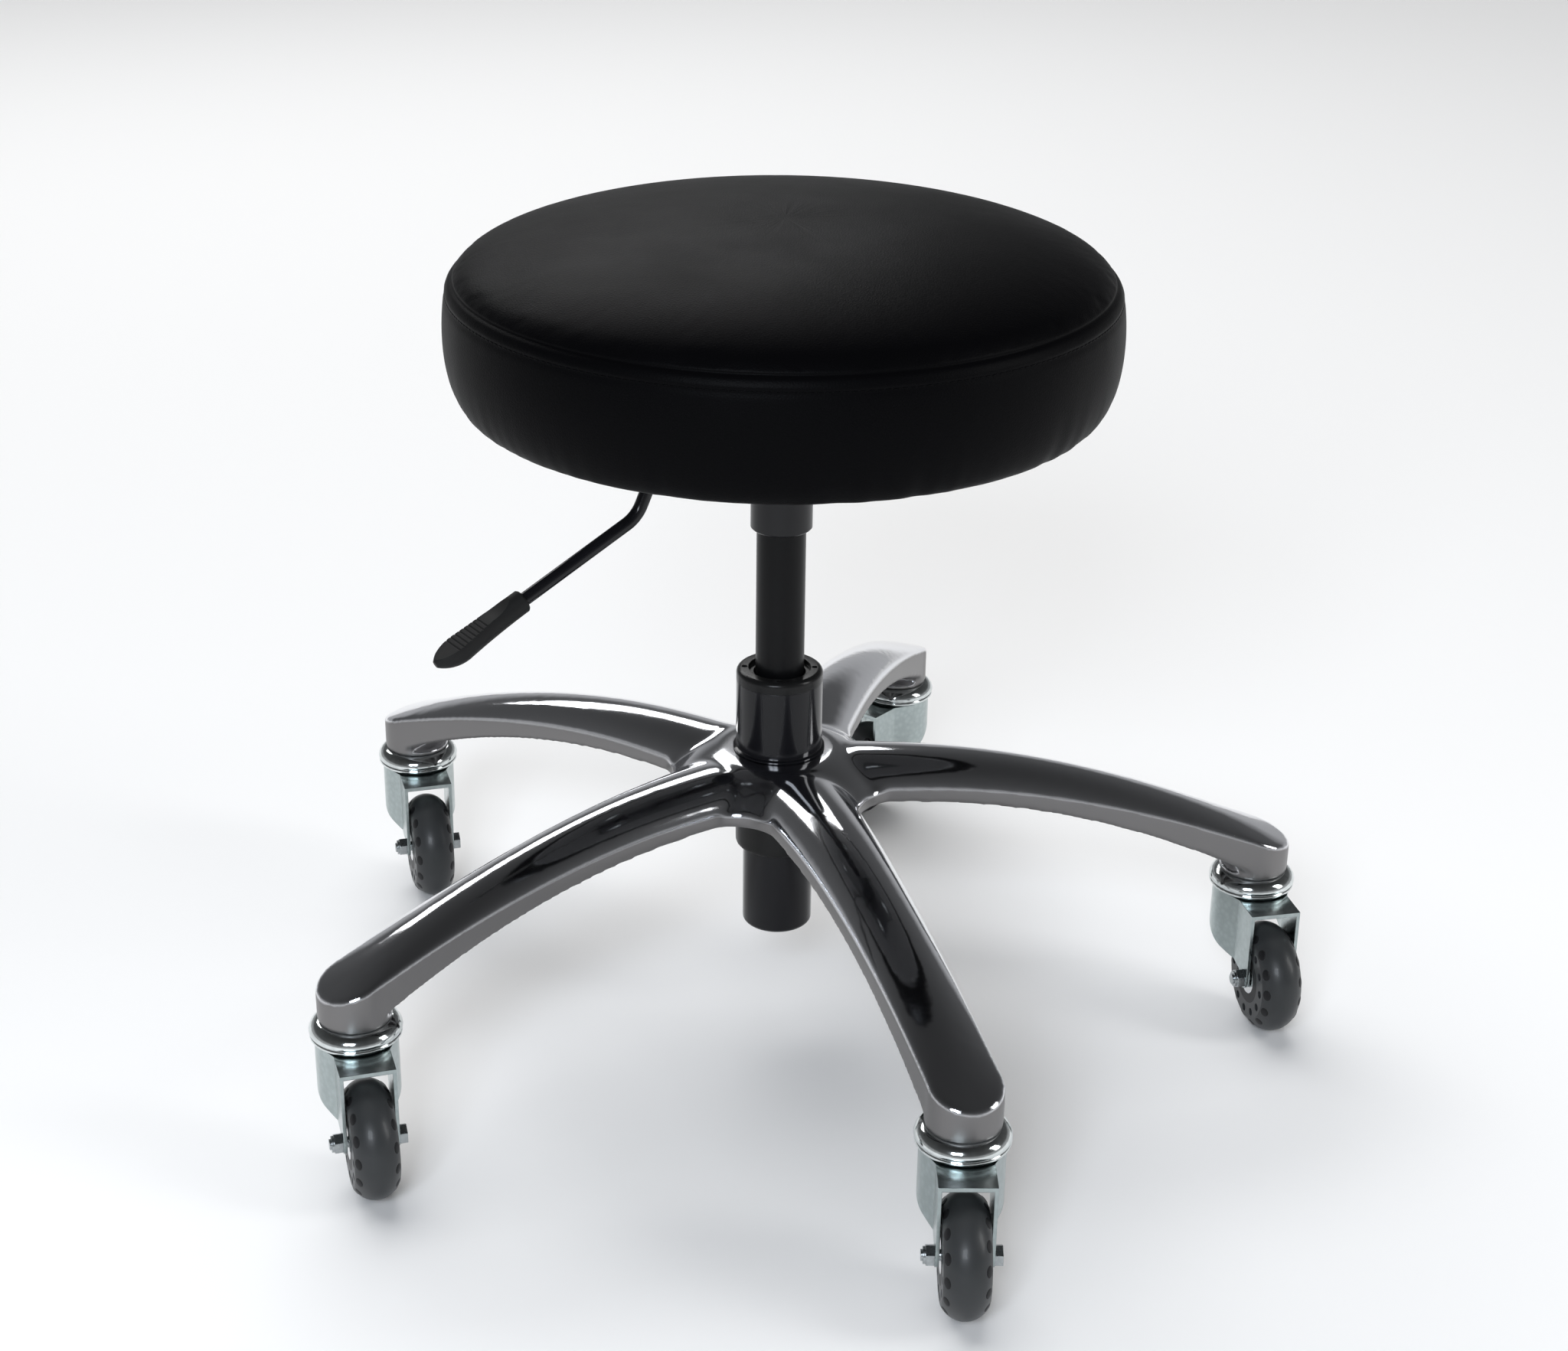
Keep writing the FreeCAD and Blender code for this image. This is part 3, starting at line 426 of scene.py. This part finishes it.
def seat_wobble(profile, seam_index, stitch_index):
    """Small puckers: along both seams, and growing into soft pleats towards the stapled edge."""
    rng = random.Random(7)
    waves = [(rng.randint(5, 11), rng.uniform(0, 6.28), 0.45) for _ in range(3)]
    waves += [(rng.randint(17, 41), rng.uniform(0, 6.28), 0.30) for _ in range(5)]
    pleats = [(rng.randint(44, 90), rng.uniform(0, 6.28), 0.22) for _ in range(5)]

    def wobble(i, angle):
        height = profile[i][1]
        slow = sum(size * math.sin(n * angle + phase) for n, phase, size in waves)
        fast = sum(size * math.sin(n * angle + phase) for n, phase, size in pleats)
        low = max(0.0, (BELT_LEVEL - height) / (BELT_LEVEL - SEAT_LOW)) ** 1.6
        near_seam = math.exp(-((height - STITCH_LEVEL) / (7 * MM)) ** 2) if i > seam_index else 0.0
        out = -abs(0.9 * MM * low * (slow + fast)) + 0.10 * MM * near_seam * fast
        if i == seam_index:
            out -= 1.1 * MM
        if i == stitch_index:
            out -= 0.7 * MM
        lift = 0.0
        if i <= seam_index:
            lift = -0.25 * MM * math.exp(-(((seam_index - i) / 3.0) ** 2))
        return out, lift + 0.12 * MM * slow * near_seam

    return wobble


def make_cushion():
    crown = crown_profile()
    profile = crown + side_profile()
    seam_index = len(crown) - 1
    stitch_index = seam_index + 6
    vertices, faces = lathe(profile, SEGMENTS, seat_wobble(profile, seam_index, stitch_index))
    top = len(vertices)
    vertices.append((0, 0, SEAT_HIGH - CROWN_GAP))
    for k in range(SEGMENTS):
        faces.append((top, (k + 1) % SEGMENTS, k))
    faces = [tuple(reversed(face)) for face in faces]
    cushion = new_mesh("seat_cushion", vertices, faces, "vinyl", "seat")
    pins = cushion.vertex_groups.new(name="pins")
    held = [seam_index, stitch_index] + list(range(len(profile) - 6, len(profile)))
    for ring in held:
        pins.add(list(range(ring * SEGMENTS, (ring + 1) * SEGMENTS)), 1.0, "REPLACE")
    inflate(cushion, limit=2.2 * MM)
    cushion.vertex_groups.clear()
    thick = cushion.modifiers.new("thickness", "SOLIDIFY")
    thick.thickness = COVER_THICKNESS
    thick.offset = -1.0
    fine = cushion.modifiers.new("fine", "SUBSURF")
    fine.levels = 1
    fine.render_levels = 1
    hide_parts("seat_cover", "seat_foam")
    return cushion


def inflate(obj, limit):
    """Lets air pressure fill the cover between its seams, then keeps each point within the limit."""
    rest = [v.co.copy() for v in obj.data.vertices]
    cloth = obj.modifiers.new("cloth", "CLOTH")
    settings = cloth.settings
    settings.use_pressure = True
    settings.uniform_pressure_force = 2.0
    settings.vertex_group_mass = "pins"
    settings.quality = 4
    settings.effector_weights.gravity = 0.0
    settings.tension_stiffness = 40.0
    settings.compression_stiffness = 40.0
    settings.bending_stiffness = 3.0
    scene = bpy.context.scene
    for step in range(1, 13):
        scene.frame_set(step)
    solved = obj.evaluated_get(bpy.context.evaluated_depsgraph_get())
    moved = [v.co.copy() for v in solved.data.vertices]
    obj.modifiers.remove(cloth)
    scene.frame_set(1)
    for vertex, before, after in zip(obj.data.vertices, rest, moved):
        shift = after - before
        if shift.length > limit:
            shift *= limit / shift.length
        vertex.co = before + shift


def make_stitches():
    """A row of topstitches round the side, just under the seam."""
    pitch, length, thick = 4.2 * MM, 3.3 * MM, 0.42 * MM
    radius = SEAT_RADIUS - SIDE_INSET - STITCH_DRAW - 0.55 * MM
    count = round(2 * math.pi * radius / pitch)
    places = []
    for k in range(count):
        angle = 360.0 * k / count
        turn = Matrix.Rotation(math.radians(angle), 4, "Z")
        along = Matrix.Rotation(math.radians(90), 4, "Z")
        places.append(turn @ Matrix.Translation((radius, 0, STITCH_LEVEL)) @ along)
    vertices, faces = many(capsule(length, thick, 8, 3), places)
    return new_mesh("seat_stitches", vertices, faces, "vinyl", "seat")


def make_staples():
    """Wire staples that hold the cover's turned-in edge to the board."""
    count = 64
    radius = FOOT_RADIUS - 0.62 * TURN_IN
    places = []
    for k in range(count):
        turn = Matrix.Rotation(2 * math.pi * (k + 0.25 * math.sin(5 * k)) / count, 4, "Z")
        tilt = Matrix.Rotation(math.radians(90 + 9 * math.sin(3.7 * k)), 4, "Z")
        places.append(turn @ Matrix.Translation((radius, 0, SEAT_LOW + 0.1 * MM)) @ tilt)
    vertices, faces = many(capsule(9.0 * MM, 0.45 * MM, 8, 2), places)
    return new_mesh("seat_staples", vertices, faces, "zinc_steel", "seat")


def make_dust_cover():
    """A disc of black cloth under the seat, sagging a little between the plate and the staples."""
    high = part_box("dust_cover")[1]
    radius = high[0]
    level = high[2] - 0.1 * MM
    inner = 70 * MM
    profile = [(radius * k / 24, level) for k in range(1, 25)]

    def sag(i, angle):
        across = profile[i][0]
        span = max(0.0, (across - inner) / (radius - inner))
        ripple = 0.25 * math.sin(23 * angle) + 0.2 * math.sin(37 * angle + 1.0)
        return 0.0, -(1.3 + ripple) * MM * math.sin(math.pi * min(1.0, span))

    segments = 144
    vertices, faces = lathe(profile, segments, sag)
    centre = len(vertices)
    vertices.append((0, 0, level))
    faces += [(centre, (k + 1) % segments, k) for k in range(segments)]
    cover = new_mesh("seat_dust_cover", vertices, faces, "dust_cloth", "seat")
    solid = cover.modifiers.new("thickness", "SOLIDIFY")
    solid.thickness = 0.3 * MM
    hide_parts("dust_cover")
    return cover


# ---------------------------------------------------------------- base casting
HUB_FLAT = 31 * MM
HUB_EDGE = 110 * MM
HUB_CREASE = 150 * MM
FADE_IN = 8 * MM
FADE_OUT = 30 * MM
FADE_UP = 6 * MM
VOXEL = 1.3 * MM
EDGE_PASSES = 12
SADDLE_PASSES = 34


def clamp(value):
    return max(0.0, min(1.0, value))


def make_casting():
    """The casting with its arms blended into the hub and its edges buffed round."""
    source = frame["nodes"]["base_casting"]
    mesh = source.data.copy()
    work = bpy.data.objects.new("smooth_casting", mesh)
    bpy.context.scene.collection.objects.link(work)
    weld = work.modifiers.new("weld", "WELD")
    weld.merge_threshold = 0.01 * MM
    remesh = work.modifiers.new("remesh", "REMESH")
    remesh.mode = "VOXEL"
    remesh.voxel_size = VOXEL
    bake(work)
    even = work.modifiers.new("even", "SMOOTH")
    even.factor = 0.5
    even.iterations = EDGE_PASSES
    bake(work)
    blend = work.vertex_groups.new(name="blend")
    for vertex in work.data.vertices:
        radius = math.hypot(vertex.co.x, vertex.co.y)
        inner = clamp((radius - HUB_FLAT) / FADE_IN)
        outer = clamp((HUB_EDGE - radius) / FADE_OUT)
        share = inner * outer * clamp((vertex.co.z - HUB_CREASE) / FADE_UP)
        if share > 0:
            blend.add([vertex.index], share, "REPLACE")
    saddle = work.modifiers.new("saddle", "SMOOTH")
    saddle.vertex_group = "blend"
    saddle.factor = 0.5
    saddle.iterations = SADDLE_PASSES
    bake(work)
    work.vertex_groups.clear()
    work.data.materials.clear()
    work.data.materials.append(MATERIALS["polished_aluminium"])
    work.data.polygons.foreach_set("use_smooth", [True] * len(work.data.polygons))
    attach(work, "base")
    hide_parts("base_casting")


def bake(obj):
    """Makes the modifiers' result the object's own mesh."""
    bpy.context.view_layer.update()
    solved = obj.evaluated_get(bpy.context.evaluated_depsgraph_get())
    mesh = bpy.data.meshes.new_from_object(solved)
    obj.modifiers.clear()
    obj.data = mesh


# ---------------------------------------------------------------- wheels
TREAD_CENTRE = 19.4 * MM
TREAD_BEND = 13.2 * MM


def make_wheel_windows():
    """Dark oval windows round both shoulders of each tyre, lying in its curved side."""
    count, tilt, sink = 14, math.radians(37), 0.30 * MM
    around, across, deep = 3.5 * MM, 2.7 * MM, 0.6 * MM
    ball = capsule(2.0, 1.0, 14, 4)
    for joint in record["behaviour"]["joints"]:
        if not joint["name"].startswith("wheel_roll_"):
            continue
        name = joint["name"].removeprefix("wheel_roll_")
        axle = Vector(joint["axis"]).normalized()
        up = Vector((0, 0, 1))
        wheel = Matrix((up.cross(axle), up, axle)).transposed().to_4x4()
        wheel = Matrix.Translation(joint["pos_m"]) @ wheel
        places = []
        for side in (-1, 1):
            lean = Matrix.Rotation(-side * (math.pi / 2 - tilt), 4, "Y")
            out = Matrix.Translation((TREAD_CENTRE, 0, 0)) @ lean
            out = out @ Matrix.Translation((TREAD_BEND - sink, 0, 0))
            for k in range(count):
                turn = Matrix.Rotation(2 * math.pi * (k + 0.25 * side) / count, 4, "Z")
                places.append(wheel @ turn @ out @ Matrix.Diagonal((deep, around, across, 1.0)))
        vertices, faces = many(ball, places)
        new_mesh("wheel_windows_" + name, vertices, faces, "core_grey", joint["child"])


# ---------------------------------------------------------------- stage, lights and camera
def make_floor():
    mesh = bpy.data.meshes.new("floor")
    size = 14.0
    corners = [(-size, -size, 0), (size, -size, 0), (size, size, 0), (-size, size, 0)]
    mesh.from_pydata(corners, [], [(0, 1, 2, 3)])
    floor = bpy.data.objects.new("floor", mesh)
    bpy.context.scene.collection.objects.link(floor)
    s = Shader("pale floor", Base_Color=(0.90, 0.90, 0.90, 1.0), Roughness=0.6)
    s.main.inputs["Specular IOR Level"].default_value = 0.2
    mesh.materials.append(s.material)


def softbox(name, place, aim, size, power, colour=(1, 1, 1)):
    data = bpy.data.lights.new(name, "AREA")
    data.shape = "RECTANGLE"
    data.size, data.size_y = size
    data.energy = power
    data.color = colour
    lamp = bpy.data.objects.new(name, data)
    bpy.context.scene.collection.objects.link(lamp)
    lamp.location = place
    lamp.rotation_euler = (Vector(aim) - Vector(place)).to_track_quat("-Z", "Y").to_euler()


def make_world():
    """A dim room: dark overhead, paler towards the horizon."""
    world = bpy.data.worlds.new("studio")
    world.use_nodes = True
    nodes, links = world.node_tree.nodes, world.node_tree.links
    coordinates = nodes.new("ShaderNodeTexCoord")
    split = nodes.new("ShaderNodeSeparateXYZ")
    ramp = nodes.new("ShaderNodeValToRGB")
    links.new(coordinates.outputs["Generated"], split.inputs["Vector"])
    links.new(split.outputs["Z"], ramp.inputs["Fac"])
    links.new(ramp.outputs["Color"], nodes["Background"].inputs["Color"])
    stops = ((0.0, 0.42), (0.16, 0.36), (0.34, 0.09), (1.0, 0.03))
    ramp.color_ramp.elements[0].position = stops[0][0]
    ramp.color_ramp.elements[1].position = stops[-1][0]
    for position, _ in stops[1:-1]:
        ramp.color_ramp.elements.new(position)
    for element, (_, level) in zip(ramp.color_ramp.elements, stops):
        element.color = (level, level * 1.01, level * 1.03, 1.0)
    nodes["Background"].inputs["Strength"].default_value = 1.0
    bpy.context.scene.world = world


def make_lights():
    make_world()
    middle = (0, 0, 0.2)
    window = (0.86, 0.92, 1.0)
    for k, x in enumerate((-0.95, -0.35)):
        softbox(f"window_{k}", (x, -2.7, 1.9), middle, (0.5, 0.9), 26, window)
    softbox("right", (2.6, -0.6, 1.5), middle, (0.7, 1.5), 22)
    softbox("back", (-0.9, 2.7, 2.1), middle, (2.4, 0.7), 26)
    sky = bpy.data.lights.new("sky", "SUN")
    sky.energy = 2.1
    sky.angle = math.radians(70)
    lamp = bpy.data.objects.new("sky", sky)
    bpy.context.scene.collection.objects.link(lamp)
    lamp.rotation_euler = (math.radians(-24), math.radians(-14), 0)
    lamp.visible_glossy = False


def make_camera():
    data = bpy.data.cameras.new("camera")
    data.sensor_width = 36.0
    data.lens = 61.36
    camera = bpy.data.objects.new("camera", data)
    bpy.context.scene.collection.objects.link(camera)
    pitch, yaw, roll = math.radians(24.40), math.radians(-0.103), math.radians(0.757)
    aim = Matrix.Rotation(yaw, 4, "Z") @ Matrix.Rotation(math.radians(90) - pitch, 4, "X")
    place = Matrix.Translation((0, -1.40228, 0.84896))
    camera.matrix_world = place @ aim @ Matrix.Rotation(roll, 4, "Z")
    data.clip_end = 60
    bpy.context.scene.camera = camera


def main():
    make_casting()
    dress_cad_nodes()
    make_cushion()
    make_stitches()
    make_staples()
    make_dust_cover()
    make_wheel_windows()
    make_floor()
    make_lights()
    make_camera()
    scene = bpy.context.scene
    scene.view_settings.view_transform = "Standard"


main()
